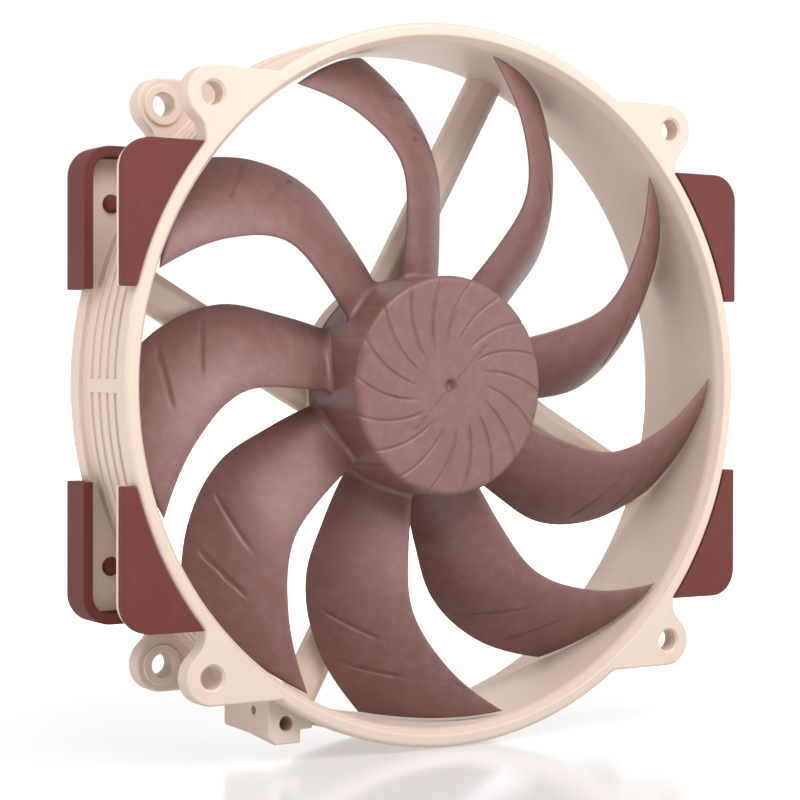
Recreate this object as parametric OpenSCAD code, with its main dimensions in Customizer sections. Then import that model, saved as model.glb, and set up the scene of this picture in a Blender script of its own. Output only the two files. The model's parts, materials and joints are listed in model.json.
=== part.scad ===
// Round-framed 140 mm case fan with the screw holes of a 120 mm fan.
// The fan stands on edge: X runs to the right, Z up and Y from the intake face to the exhaust face.
// The origin lies on the spin axis, half-way through the frame's depth.

/* [Frame] */
// Outer diameter of the round frame
frame_dia = 139.2; // [139:0.1:140.4]
// Depth of the frame from intake face to exhaust face
frame_depth = 25; // [25:0.1:25.4]
// Diameter of the round air passage
bore_dia = 132; // [131.6:0.1:132.4]
// Thickness of the front and rear flanges
flange_t = 4.1; // [3.8:0.1:4.3]
// Distance between neighbouring screw holes
screw_pitch = 105; // [104.8:0.1:105.2]
// Diameter of the screw holes
screw_hole_dia = 4.3; // [4:0.1:4.6]
// Outer radius of a screw ear
ear_r = 5.1; // [4.8:0.1:5.4]

/* [Soft pads] */
// Distance from the spin axis to the outer side of the pads
pad_reach = 70; // [70:0.1:70.4]
// Height of a pad's end nearest the middle of the frame
pad_low = 17.6; // [17:0.1:18.5]
// Height of a pad's end nearest the screw ears
pad_high = 43.9; // [43.5:0.1:44.2]
// Thickness of a pad's flat plate
pad_plate_t = 2.3; // [2:0.1:2.5]
// Depth of the rear pads' skirt
skirt_depth = 7.6; // [6:0.1:8]
// Thickness of the rear pads' skirt
skirt_t = 2; // [1.6:0.1:2.2]

/* [Struts and motor base] */
// Diameter of the motor base
base_dia = 42.6; // [42:0.1:43]
// Depth of a strut
strut_depth = 3.6; // [3:0.1:3.8]
// Width of a strut
strut_w = 7.7; // [7.4:0.1:8]
// Distance of a strut's middle line from the spin axis
strut_offset = 11.2; // [11:0.1:11.4]
// Direction of the first strut, anticlockwise from +X seen from the front
strut_heading = 60.5; // [60:0.5:61]

/* [Impeller] */
// Diameter of the impeller's hub
hub_dia = 42.6; // [42:0.1:43]
// Number of blades
blade_count = 9; // [9]
// Radius of the blades' tips
tip_r = 65.3; // [64:0.1:65.4]
// Greatest thickness of a blade at its root
root_t = 2.4; // [1.8:0.1:2.8]
// Greatest thickness of a blade at its tip
tip_t = 1.5; // [1.2:0.1:2]
// Height of a blade's camber as a share of its chord
camber = 0.05; // [0.02:0.01:0.07]

/* [Motor] */
// Diameter of the shaft
shaft_dia = 3; // [3]
// Radial clearance of the shaft in its bearing
running_gap = 0.03; // [0.02:0.01:0.08]
// Outer radius of the stator
stator_r = 16.4; // [16:0.1:16.5]
// Air gap between stator and magnet
air_gap = 0.5; // [0.4:0.1:0.6]

/* [Hidden] */

// Colours
CREAM = [0.87, 0.78, 0.70];
RED_BROWN = [0.46, 0.25, 0.23];
BLADE_BROWN = [0.45, 0.31, 0.29];
STEEL = [0.68, 0.69, 0.71];
BRASS = [0.78, 0.62, 0.33];
COPPER = [0.72, 0.40, 0.22];

// A cutter passes this far beyond the face that it opens
CUT = 0.1;
// Fineness of the round surfaces
SMOOTH = 96;

// Frame planes and radii
y_rear = frame_depth / 2;
y_front = -y_rear;
y_flange = y_rear - flange_t;
ring_r = frame_dia / 2;
bore_r = bore_dia / 2;
wall_r = bore_r + 2.3;
inlet_r = bore_r + 1.2;
inlet_depth = 2;
edge_round = 1;
groove_count = 4;
groove_w = 1.4;
groove_depth = 0.6;
groove_pitch = 3.4;

// Screw ears
screw_at = screw_pitch / 2;
screw_r = screw_hole_dia / 2;
ear_top = screw_at + ear_r;
ear_side = 53.9;
ear_root = 40;

// Pads and the wings that carry them
y_pad = y_rear - pad_plate_t;
y_skirt = y_rear - skirt_depth;
pad_corner_r = 5.5;
wing_inset = 0.4;
peg_r = 1.5;
peg_gap = 0.05;
peg_tip = 1;
PEGS = [[63, 33.5], [60, 38.9]];

// Struts, each with a bevel of this width and depth along its front edges.
// The one that carries the wires has a channel in its rear, which starts this far along its middle line.
y_strut = y_rear - strut_depth;
strut_count = 4;
bevel_w = 2.2;
bevel_depth = 1.8;
wire_strut = 2;
channel_start = 15.1;
channel_w = 3.2;
channel_depth = 2.3;
wire_hole_r = 2;

// Motor base
base_r = base_dia / 2;
base_rim_t = 1.3;
y_base = 8.3;
base_floor_t = 2.2;
y_floor = y_rear - base_floor_t;
disc_r = 16;
disc_t = 0.3;
post_r = 1.2;
post_at = 15.2;

// Cable outlet block: its underside rises from front to rear, its left lower edge is bevelled
// and its right lower edge is cut out
outlet_x = [-38.9, -29.4];
outlet_y = [-y_flange, 9.5];
outlet_low = [-66.6, -65];
outlet_bevel = 1.5;
notch_w = 2.6;
notch_top = -64.1;
cable_hole_r = 1.4;
cable_hole_at = [-35, -62.7];
side_hole_r = 0.9;
side_hole_at = [-2.6, -60.6];
side_hole_depth = 3;

// Hub, yoke and magnet, one inside the other
hub_r = hub_dia / 2;
y_cap = -10.5;
y_hub_end = 7.4;
hub_wall = 1.4;
cap_t = 1.4;
cap_round = 1.1;
dimple_r = 1;
yoke_r = hub_r - hub_wall;
yoke_wall = 1;
y_yoke = y_cap + cap_t;
y_yoke_end = 6.5;
magnet_r = yoke_r - yoke_wall;
magnet_in_r = stator_r + air_gap;
magnet_half = 6;

// Shaft and bearing
shaft_r = shaft_dia / 2;
boss_r = 3.2;
boss_len = 1.6;
tube_r = 4.8;
tube_bore_r = 3.4;
y_tube = -5.6;
y_tube_end = 11.6;
seal_t = 0.7;
seal_bore_r = 1.8;
y_sleeve_end = 8;
plate_t = 1;
tip_gap = 0.1;
clip_y = 8.9;
clip_t = 0.5;
clip_r = 2.6;
clip_groove = 0.4;

// Stator
core_half = 3;
core_ring_r = 6.2;
arm_w = 3;
shoe_t = 1.8;
shoe_angle = 74;
insulator_t = 0.9;
insulator_w = 4.2;
insulator_ring_r = 7.2;
lip_r = [13.8, 14.5];
lip_h = 3;
coil_r = [7.4, 12.9];
coil_w = 9;
coil_half = 6.4;
coil_hole_w = 4.4;
coil_hole_half = 4;

// Circuit board and what stands on it
board_y = 6.9;
board_t = 1;
board_r = 18.2;
pin_r = 0.35;
pin_at = 6.6;
pin_end = 8.4;

// Blade stations, evenly spaced from the root to the tip.
// Each holds leading edge angle, leading edge depth, trailing edge angle and trailing edge depth.
STATIONS = [
    [3, -0.4, -30, 6.3],
    [0.5, -3.6, -25, 7],
    [1.5, -6.4, -20.8, 7.3],
    [10.2, -8.4, -12, 6.7],
    [21.3, -9.8, 0, 5.3]
];
// The first blade's angles count from here
blade_datum = -100;
blade_root_r = hub_r - 0.3;
radial_steps = 16;
chord_steps = 12;
edge_t = 0.5;

// ---- Helpers ----

// Extrudes a front-view outline between two depths
module slab(y0, y1) {
    translate([0, y1, 0]) rotate([90, 0, 0]) linear_extrude(y1 - y0) children();
}

// Turns a profile of radius and depth round the spin axis
module revolve() {
    rotate([-90, 0, 0]) rotate_extrude($fn = SMOOTH) children();
}

// A round bar along the spin direction, centred on x and z
module bar(r, y0, y1, x = 0, z = 0) {
    translate([x, y0, z]) rotate([-90, 0, 0]) cylinder(r = r, h = y1 - y0, $fn = SMOOTH);
}

// A ring round the spin axis
module tube(r_in, r_out, y0, y1) {
    difference() {
        bar(r_out, y0, y1);
        bar(r_in, y0 - CUT, y1 + CUT);
    }
}

// A point at a radius and an angle in the front view
function polar(r, a) = [r * cos(a), r * sin(a)];

// Value between four samples, smooth at the middle two
function blend4(a, b, c, d, t) =
    b + 0.5 * t * (c - a + t * (2 * a - 5 * b + 4 * c - d + t * (3 * (b - c) + d - a)));

// Outer end of the samples: the first and last are continued in a straight line
function sample(i, col) =
    i < 0 ? 2 * STATIONS[0][col] - STATIONS[1][col]
    : i >= len(STATIONS) ? 2 * STATIONS[len(STATIONS) - 1][col] - STATIONS[len(STATIONS) - 2][col]
    : STATIONS[i][col];

// One blade value at a radius, read from the stations
function station(r, col) =
    let (at = (r - blade_root_r) / (tip_r - blade_root_r) * (len(STATIONS) - 1),
         i = min(len(STATIONS) - 2, max(0, floor(at))))
    blend4(sample(i - 1, col), sample(i, col), sample(i + 1, col), sample(i + 2, col), at - i);

// ---- Frame ----

// Cross-section of the ring: two flanges joined by a thinner wall with shallow grooves
module ring_profile() {
    difference() {
        polygon([
            [bore_r - CUT, y_front],
            [ring_r - edge_round, y_front],
            for (a = [-67.5:22.5:-22.5]) [ring_r - edge_round, y_front + edge_round] + edge_round * polar(1, a),
            [ring_r, y_front + edge_round],
            [ring_r, -y_flange],
            [wall_r, -y_flange],
            [wall_r, y_flange],
            [ring_r, y_flange],
            [ring_r, y_rear - edge_round],
            for (a = [22.5:22.5:67.5]) [ring_r - edge_round, y_rear - edge_round] + edge_round * polar(1, a),
            [ring_r - edge_round, y_rear],
            [bore_r - CUT, y_rear]
        ]);
        for (i = [0:groove_count - 1])
            translate([wall_r - groove_depth, (i - (groove_count - 1) / 2) * groove_pitch - groove_w / 2])
                square([groove_depth + CUT, groove_w]);
    }
}

// Front-view outline of the upper right ear: flat on top, cut back at 45 degrees below the screw
module ear_outline() {
    slant = ear_r / sqrt(2);
    circle_at = [screw_at, screw_at];
    translate(circle_at) circle(r = ear_r, $fn = SMOOTH);
    polygon([
        [ear_root, ear_top],
        [screw_at, ear_top],
        [screw_at + slant, screw_at - slant],
        [ear_side, screw_at - slant - (screw_at + slant - ear_side)],
        [ear_side, pad_high - 1],
        [ear_root, pad_high - 1]
    ]);
}

// Front-view outline of the upper right wing or pad, taken in by a margin at its outer edges
module pad_outline(margin) {
    r = pad_corner_r - margin;
    x = pad_reach - margin - r;
    z = pad_high - margin - r;
    square([x + r, z]);
    square([x, z + r]);
    translate([x, z]) circle(r = r, $fn = SMOOTH);
}

// Keeps what lies above a pad's low end and outside a circle
module beyond(r, low) {
    difference() {
        intersection() {
            children();
            translate([0, low]) square([pad_reach + 1, pad_high]);
        }
        circle(r = r, $fn = SMOOTH);
    }
}

// Puts its child in one quarter of the front view, right and up being +1
module quarter(right, up) {
    mirror([right < 0 ? 1 : 0, 0, 0]) mirror([0, 0, up < 0 ? 1 : 0]) children();
}

// Ears and wings of one quarter, on both flanges
module quarter_flanges() {
    slab(y_front, -y_flange) ear_outline();
    slab(y_flange, y_rear) ear_outline();
    slab(-y_pad, -y_flange) beyond(wall_r - 1, pad_low) pad_outline(wing_inset);
    slab(y_flange, y_pad) beyond(wall_r - 1, pad_low + skirt_t) pad_outline(skirt_t);
}

// Screw holes and peg holes of one quarter, through both flanges
module quarter_holes() {
    bar(screw_r, y_front - CUT, y_rear + CUT, screw_at, screw_at);
    for (peg = PEGS)
        bar(peg_r, y_front - CUT, y_rear + CUT, peg[0], peg[1]);
}

// The round air passage, which widens towards the intake face
module air_passage() {
    slope = (inlet_r - bore_r) / inlet_depth;
    revolve() polygon([
        [0, y_front - CUT],
        [inlet_r + slope * CUT, y_front - CUT],
        [bore_r, y_front + inlet_depth],
        [bore_r, y_rear + CUT],
        [0, y_rear + CUT]
    ]);
}

module frame_ring() {
    color(CREAM) difference() {
        union() {
            revolve() ring_profile();
            for (right = [-1, 1], up = [-1, 1])
                quarter(right, up) quarter_flanges();
        }
        for (right = [-1, 1], up = [-1, 1])
            quarter(right, up) quarter_holes();
        air_passage();
        wire_channel();
    }
}

// ---- Pads ----

// Snap pegs of a pad, from its plate through the wing
module pegs(y0, y1) {
    for (peg = PEGS)
        bar(peg_r - peg_gap, y0, y1, peg[0], peg[1]);
}

module front_pad(right, up) {
    color(RED_BROWN) quarter(right, up) {
        slab(y_front, -y_pad) beyond(ring_r, pad_low) pad_outline(0);
        pegs(-y_pad - CUT, -y_flange + peg_tip);
    }
}

module rear_pad(right, up) {
    color(RED_BROWN) quarter(right, up) {
        slab(y_pad, y_rear) beyond(ring_r, pad_low) pad_outline(0);
        slab(y_skirt, y_pad) beyond(ring_r, pad_low) difference() {
            pad_outline(0);
            pad_outline(skirt_t);
        }
        pegs(y_flange - peg_tip, y_pad + CUT);
    }
}

// ---- Struts and motor base ----

// Lays a cross-section along a strut, between two distances on its middle line
module along_strut(i, start, end) {
    rotate([0, 90 - strut_heading - i * 360 / strut_count, 0])
        translate([-strut_offset, 0, start]) linear_extrude(end - start) children();
}

// The four struts, flat at the rear and bevelled along their front edges
module struts() {
    half = strut_w / 2;
    intersection() {
        for (i = [0:strut_count - 1])
            along_strut(i, 0, bore_r) polygon([
                [-half, y_rear],
                [-half, y_strut + bevel_depth],
                [-half + bevel_w, y_strut],
                [half - bevel_w, y_strut],
                [half, y_strut + bevel_depth],
                [half, y_rear]
            ]);
        bar(bore_r, y_strut - CUT, y_rear + CUT);
    }
}

// Room for the wires along the rear of one strut and through the ring
module wire_channel() {
    along_strut(wire_strut, channel_start, ring_r + 2)
        translate([-channel_w / 2, y_rear - channel_depth]) square([channel_w, channel_depth + CUT]);
}

// Puts its child at the three posts that the circuit board stands on
module on_posts() {
    for (a = [90:120:330])
        translate([polar(post_at, a)[0], 0, polar(post_at, a)[1]]) children();
}

// Open cup behind the hub with its struts, a seat for the bearing and posts for the board
module motor_base() {
    difference() {
        union() {
            bar(base_r, y_base, y_rear);
            struts();
        }
        bar(base_r - base_rim_t, y_base - CUT, y_floor);
    }
    bar(tube_r + base_rim_t, board_y + board_t, y_floor + CUT);
    on_posts() bar(post_r, board_y, y_floor + CUT);
}

module motor_support() {
    color(CREAM) difference() {
        motor_base();
        bar(tube_r, y_base - base_floor_t, y_tube_end);
        bar(disc_r, y_rear - disc_t, y_rear + CUT);
        wire_channel();
        rotate([0, -strut_heading - wire_strut * 360 / strut_count, 0])
            bar(wire_hole_r, y_floor - CUT, y_rear + CUT, channel_start, strut_offset);
    }
}

// Block under the ring that the cable leaves through
module cable_outlet() {
    color(CREAM) difference() {
        intersection() {
            slab(outlet_y[0], outlet_y[1]) polygon([
                [outlet_x[0], 0],
                [outlet_x[0], outlet_low[0] + outlet_bevel],
                [outlet_x[0] + outlet_bevel, outlet_low[0]],
                [outlet_x[1] - notch_w, outlet_low[0]],
                [outlet_x[1] - notch_w, notch_top],
                [outlet_x[1], notch_top],
                [outlet_x[1], 0]
            ]);
            translate([outlet_x[0] - CUT, 0, 0]) rotate([90, 0, 90])
                linear_extrude(outlet_x[1] - outlet_x[0] + 2 * CUT) polygon([
                    [outlet_y[0] - CUT, outlet_low[0]],
                    [outlet_y[0], outlet_low[0]],
                    [outlet_y[1], outlet_low[1]],
                    [outlet_y[1] + CUT, outlet_low[1]],
                    [outlet_y[1] + CUT, CUT],
                    [outlet_y[0] - CUT, CUT]
                ]);
        }
        bar(wall_r, outlet_y[0] - CUT, y_flange + CUT);
        bar(ring_r, y_flange, outlet_y[1] + CUT);
        bar(cable_hole_r, outlet_y[0] - CUT, outlet_y[1] + CUT, cable_hole_at[0], cable_hole_at[1]);
        translate([outlet_x[0] - CUT, side_hole_at[0], side_hole_at[1]])
            rotate([0, 90, 0]) cylinder(r = side_hole_r, h = side_hole_depth + CUT, $fn = SMOOTH);
    }
}

// ---- Bearing ----

module bearing_tube() {
    color(BRASS) tube(tube_bore_r, tube_r, y_tube, y_tube_end);
}

module oil_seal() {
    color("dimgray") tube(seal_bore_r, tube_bore_r, y_tube, y_tube + seal_t);
}

module bearing_sleeve() {
    color("darkgoldenrod") tube(shaft_r + running_gap, tube_bore_r, y_tube + seal_t, y_sleeve_end);
}

module thrust_plate() {
    color("ivory") bar(tube_bore_r, y_tube_end - plate_t, y_tube_end);
}

// ---- Stator ----

// Puts its child on each of the four poles
module on_poles() {
    for (a = [0:90:270])
        rotate(a) children();
}

// Front-view sector between two radii, centred on +X
module sector(r_in, r_out, angle) {
    reach = r_out / cos(angle / 4) + 1;
    intersection() {
        difference() {
            circle(r = r_out, $fn = SMOOTH);
            circle(r = r_in, $fn = SMOOTH);
        }
        polygon([[0, 0], for (k = [-2:2]) polar(reach, angle / 4 * k)]);
    }
}

module stator_core() {
    color(STEEL) slab(-core_half, core_half) difference() {
        union() {
            circle(r = core_ring_r, $fn = SMOOTH);
            on_poles() translate([0, -arm_w / 2]) square([stator_r - shoe_t + CUT, arm_w]);
            on_poles() sector(stator_r - shoe_t, stator_r, shoe_angle);
        }
        circle(r = tube_r, $fn = SMOOTH);
    }
}

// Insulating spider on one end of the stator core
module insulator(side) {
    color("white") mirror([0, side > 0 ? 0 : 1, 0]) {
        slab(core_half, core_half + insulator_t) difference() {
            union() {
                circle(r = insulator_ring_r, $fn = SMOOTH);
                on_poles() translate([0, -insulator_w / 2]) square([lip_r[0] + CUT, insulator_w]);
            }
            circle(r = tube_r, $fn = SMOOTH);
        }
        slab(core_half, core_half + lip_h)
            on_poles() sector(lip_r[0], lip_r[1], shoe_angle / 2);
    }
}

module coil(index) {
    color(COPPER) rotate([0, (index - 1) * 90, 0]) difference() {
        translate([coil_r[0], -coil_half, -coil_w / 2])
            cube([coil_r[1] - coil_r[0], 2 * coil_half, coil_w]);
        translate([coil_r[0] - CUT, -coil_hole_half, -coil_hole_w / 2])
            cube([coil_r[1] - coil_r[0] + 2 * CUT, 2 * coil_hole_half, coil_hole_w]);
    }
}

// ---- Circuit board ----

module circuit_board() {
    color("darkgreen") difference() {
        bar(board_r, board_y, board_y + board_t);
        bar(tube_r + 0.2, board_y - CUT, board_y + board_t + CUT);
        for (a = [45:90:315])
            bar(pin_r, board_y - CUT, board_y + board_t + CUT, polar(pin_at, a)[0], polar(pin_at, a)[1]);
        on_posts() bar(post_r, board_y - CUT, board_y + board_t + CUT);
    }
}

// A small block centred at a radius and an angle in the front view
module chip(r, a, w, h, y0, y1) {
    slab(y0, y1) rotate(a) translate([r, 0]) square([w, h], center = true);
}

module hall_sensor() {
    color("black") chip(14.8, 45, 1.6, 2.6, board_y - 0.8, board_y);
}

module driver_chip() {
    color("black") chip(11, 150, 4, 5, board_y + board_t, board_y + board_t + 1);
}

module board_capacitors() {
    color("tan") for (a = [20, 40, 255])
        chip(12, a, 1.4, 2.4, board_y + board_t, board_y + board_t + 1);
}

module terminal_pins() {
    color(BRASS) for (a = [45:90:315])
        bar(pin_r, core_half + insulator_t, pin_end, polar(pin_at, a)[0], polar(pin_at, a)[1]);
}

// Plain round plate that closes the motor base's rear
module rear_disc() {
    color("silver") bar(disc_r, y_rear - disc_t, y_rear);
}

// ---- Rotor ----

// Cross-section of the hub cup, with a rounded front edge
module hub_profile() {
    polygon([
        [0, y_cap],
        for (a = [-90:15:0]) [hub_r - cap_round, y_cap + cap_round] + cap_round * polar(1, a),
        [hub_r, y_hub_end],
        [yoke_r, y_hub_end],
        [yoke_r, y_yoke],
        [0, y_yoke]
    ]);
}

module impeller_hub() {
    color(BLADE_BROWN) difference() {
        revolve() hub_profile();
        translate([0, y_cap - dimple_r / 2, 0]) sphere(r = dimple_r, $fn = SMOOTH);
    }
}

// Half thickness of the blade at a share of its chord: round nose, thin tail
function half_t(u, t) = t * (1.48 * sqrt(u) - 0.63 * u - 1.76 * u * u + 1.42 * pow(u, 3) - 0.51 * pow(u, 4))
    + edge_t / 2 * u;

// Share of the chord reached at a step, finer towards both edges
function chord_share(i) = (1 - cos(180 * i / chord_steps)) / 2;

// One point of the blade's section: side -1 is the suction side, +1 the pressure side
function blade_point(r, i, side) =
    let (lead = [station(r, 0) * PI / 180 * r, station(r, 1)],
         tail = [station(r, 2) * PI / 180 * r, station(r, 3)],
         chord = tail - lead,
         across = [chord[1], -chord[0]] / norm(chord),
         u = chord_share(i),
         t = root_t + (tip_t - root_t) * (r - blade_root_r) / (tip_r - blade_root_r),
         p = lead + u * chord + across * (side * half_t(u, t) - camber * norm(chord) * 4 * u * (1 - u)),
         a = p[0] / r * 180 / PI + blade_datum)
    [r * cos(a), p[1], r * sin(a)];

// Closed loop of section points at a radius, from the tail over the suction side and back
function blade_loop(r) = concat(
    [for (i = [chord_steps:-1:0]) blade_point(r, i, -1)],
    [for (i = [1:chord_steps]) blade_point(r, i, 1)]
);

module blade(index) {
    side = 2 * chord_steps + 1;
    points = [for (k = [0:radial_steps])
        each blade_loop(blade_root_r + (tip_r - blade_root_r) * k / radial_steps)];
    skin = [for (k = [0:radial_steps - 1], i = [0:side - 1])
        let (a = k * side + i, b = k * side + (i + 1) % side)
        each [[a, a + side, b], [b, a + side, b + side]]];
    last = radial_steps * side;
    ends = [for (i = [1:side - 2])
        each [[0, i, i + 1], [last, last + i + 1, last + i]]];
    color(BLADE_BROWN) rotate([0, -(index - 1) * 360 / blade_count, 0])
        polyhedron(points, concat(skin, ends));
}

module rotor_yoke() {
    color(STEEL) difference() {
        bar(yoke_r, y_yoke, y_yoke_end);
        bar(magnet_r, y_yoke + yoke_wall, y_yoke_end + CUT);
        bar(shaft_r, y_yoke - CUT, y_yoke + yoke_wall + CUT);
    }
}

module magnet_ring() {
    color("dimgray") tube(magnet_in_r, magnet_r, -magnet_half, magnet_half);
}

module shaft_boss() {
    color(BRASS) tube(shaft_r, boss_r, y_yoke + yoke_wall, y_yoke + yoke_wall + boss_len);
}

module shaft() {
    y_end = y_tube_end - plate_t - tip_gap;
    color("silver") difference() {
        bar(shaft_r, y_yoke, y_end);
        tube(shaft_r - clip_groove, shaft_r + CUT, clip_y, clip_y + clip_t);
    }
}

module retaining_clip() {
    color(STEEL) difference() {
        tube(shaft_r - clip_groove, clip_r, clip_y, clip_y + clip_t);
        translate([0, clip_y - CUT, -0.4]) cube([clip_r + 1, clip_t + 2 * CUT, 0.8]);
    }
}

// ---- Nodes ----

frame_ring();
motor_support();
cable_outlet();
front_pad(-1, 1);  // front_pad_upper_left
front_pad(1, 1);  // front_pad_upper_right
front_pad(-1, -1);  // front_pad_lower_left
front_pad(1, -1);  // front_pad_lower_right
rear_pad(-1, 1);  // rear_pad_upper_left
rear_pad(1, 1);  // rear_pad_upper_right
rear_pad(-1, -1);  // rear_pad_lower_left
rear_pad(1, -1);  // rear_pad_lower_right
bearing_tube();
bearing_sleeve();
oil_seal();
thrust_plate();
stator_core();
insulator(-1);  // front_insulator
insulator(1);  // rear_insulator
for (i = [1:4]) coil(i);
circuit_board();
hall_sensor();
driver_chip();
board_capacitors();
terminal_pins();
rear_disc();
impeller_hub();
for (i = [1:blade_count]) blade(i);
rotor_yoke();
magnet_ring();
shaft_boss();
shaft();
retaining_clip();
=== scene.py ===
# %% [markdown]
# # A round-framed case fan
# The fan stands on edge: X runs right, Z up, and Y from the face that draws air in to the face that blows
# it out. The engineering model comes first and is never changed; every piece below is built round it, in
# metres and in its place, and then rides on one of its two bodies, the housing or the impeller.

# %% Load the fan's frame
import json
import math
from contextlib import contextmanager

import bmesh
import bpy
from mathutils import Matrix, Vector

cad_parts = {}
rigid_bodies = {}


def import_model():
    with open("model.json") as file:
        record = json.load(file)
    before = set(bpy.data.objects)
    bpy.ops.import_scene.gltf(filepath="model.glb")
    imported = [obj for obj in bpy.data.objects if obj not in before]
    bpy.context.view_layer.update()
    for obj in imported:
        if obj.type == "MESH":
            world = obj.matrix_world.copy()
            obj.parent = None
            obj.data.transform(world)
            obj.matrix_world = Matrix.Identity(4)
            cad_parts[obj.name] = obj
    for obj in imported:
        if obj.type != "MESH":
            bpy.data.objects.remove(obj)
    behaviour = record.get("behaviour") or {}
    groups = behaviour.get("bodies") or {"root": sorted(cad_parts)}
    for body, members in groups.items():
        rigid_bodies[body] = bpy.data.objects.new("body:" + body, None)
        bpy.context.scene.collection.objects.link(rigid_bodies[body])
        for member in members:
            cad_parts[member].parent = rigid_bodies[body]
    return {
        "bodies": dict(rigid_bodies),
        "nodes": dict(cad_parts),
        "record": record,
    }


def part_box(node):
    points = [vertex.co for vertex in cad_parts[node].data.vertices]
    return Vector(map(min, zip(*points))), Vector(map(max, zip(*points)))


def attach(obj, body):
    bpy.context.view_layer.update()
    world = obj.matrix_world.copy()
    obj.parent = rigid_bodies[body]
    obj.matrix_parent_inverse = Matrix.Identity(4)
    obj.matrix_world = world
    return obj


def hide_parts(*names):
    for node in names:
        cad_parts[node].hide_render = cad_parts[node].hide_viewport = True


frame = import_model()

kept = {*frame["nodes"].values(), *frame["bodies"].values()}
for startup in set(bpy.data.objects) - kept:
    bpy.data.objects.remove(startup)
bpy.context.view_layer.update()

# %% [markdown]
# ## Sizes
# A piece that fits the real one starts from its sizes. What the engineering model already knows is read from
# its boxes; the rest are the moulding's own dimensions, given in millimetres.

# %% Read the main sizes
MM = 0.001
ring_low, ring_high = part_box("frame_ring")
pad_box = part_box("front_pad_upper_right")
skirt_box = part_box("rear_pad_upper_right")
hub_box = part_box("impeller_hub")
outlet_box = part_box("cable_outlet")

FRONT, REAR = ring_low.y / MM, ring_high.y / MM
RING_R = ring_high.x / MM
BORE_R = 66.0
INLET_R, INLET_DEPTH = BORE_R + 1.2, 2.0
WALL_R = BORE_R + 2.3
FLANGE = 8.4
SCREW = 52.5
HUB_R = hub_box[1].x / MM
print("frame from", round(FRONT, 2), "to", round(REAR, 2), "mm, radius", round(RING_R, 2))

# %% [markdown]
# ## Working by hand
# These helpers are the few moves that every piece needs: let go of everything, take one piece in hand, enter
# edit mode and select by place.

# %% Take pieces in hand
def let_go():
    """Leaves edit mode and deselects everything."""
    if bpy.context.mode != "OBJECT":
        bpy.ops.object.mode_set(mode="OBJECT")
    bpy.ops.object.select_all(action="DESELECT")


def take(*pieces):
    """Selects these pieces, the first one active."""
    let_go()
    for piece in pieces:
        piece.select_set(True)
    bpy.context.view_layer.objects.active = pieces[0]
    return pieces[0]


def settle(name):
    """Names the active piece and moves its place into its mesh."""
    piece = bpy.context.active_object
    piece.name = piece.data.name = name
    bpy.ops.object.transform_apply(location=True, rotation=True, scale=True)
    return piece


@contextmanager
def editing(piece, kind="VERT", everything=True):
    """Edit mode on one piece, with all or none of it selected."""
    take(piece)
    bpy.ops.object.mode_set(mode="EDIT")
    bpy.ops.mesh.select_mode(type=kind)
    bpy.ops.mesh.select_all(action="SELECT" if everything else "DESELECT")
    yield bmesh.from_edit_mesh(piece.data)
    let_go()


def select(mesh, parts, test):
    """Selects the vertices, edges or faces that pass the test."""
    for part in parts:
        part.select_set(bool(test(part)))
    mesh.select_flush_mode()


def modify(piece, kind, **settings):
    """Adds a modifier, sets it and applies it."""
    take(piece)
    modifier = piece.modifiers.new(kind.lower(), kind)
    for name, value in settings.items():
        setattr(modifier, name, value)
    bpy.ops.object.modifier_apply(modifier=modifier.name)


def combine(piece, tool, operation):
    """Joins the tool to the piece, or cuts it away, and uses the tool up."""
    modify(piece, "BOOLEAN", object=tool, operation=operation, solver="EXACT")
    bpy.data.objects.remove(tool)


WELD, GENTLE_BEND = 0.0004, 35


def heal(piece):
    """Merges doubles and turns every face outwards."""
    with editing(piece):
        bpy.ops.mesh.remove_doubles(threshold=WELD * MM)
        bpy.ops.mesh.normals_make_consistent(inside=False)
    return piece


def finish_edges(piece):
    """Smooth shading over gentle bends, and flat faces kept flat."""
    take(piece)
    bpy.ops.object.shade_smooth_by_angle(angle=math.radians(GENTLE_BEND))
    modify(piece, "WEIGHTED_NORMAL", keep_sharp=True, weight=60)


def report(piece):
    print(piece.name, len(piece.data.polygons), "faces,", [round(d / MM, 2) for d in piece.dimensions], "mm")


# %% [markdown]
# ## Three ways to a shape
# Nearly every piece of a fan is one of three things: a profile turned round the spin axis, a flat outline
# given a thickness, or a cross-section carried along a path. Each is drawn the way one draws by hand, one
# vertex extruded from corner to corner, and its corners are rounded with a vertex bevel.

# %% Draw, turn, thicken and loft
SAME_PLACE, CORNER_STEPS, EDGE_STEPS = 0.001, 4, 3
SHARP_EDGE = math.radians(50)


def draw(name, corners):
    """A closed line through corners (x, y, z, rounding), in millimetres."""
    let_go()
    points = [Vector(c[:3]) * MM for c in corners]
    bpy.ops.mesh.primitive_plane_add(size=MM, location=points[0])
    piece = settle(name)
    with editing(piece):
        bpy.ops.mesh.merge(type="CENTER")
        for here, there in zip(points, points[1:] + points[:1]):
            bpy.ops.mesh.extrude_region_move(TRANSFORM_OT_translate={"value": there - here})
        bpy.ops.mesh.select_all(action="SELECT")
        bpy.ops.mesh.remove_doubles(threshold=SAME_PLACE * MM)
    for size in sorted({c[3] for c in corners if c[3]}):
        near = [p for p, c in zip(points, corners) if c[3] == size]
        with editing(piece, everything=False) as mesh:
            select(mesh, mesh.verts, lambda v: any((v.co - p).length < 2 * SAME_PLACE * MM for p in near))
            bpy.ops.mesh.bevel(offset=size * MM, segments=CORNER_STEPS, affect="VERTICES")
    return piece


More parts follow.
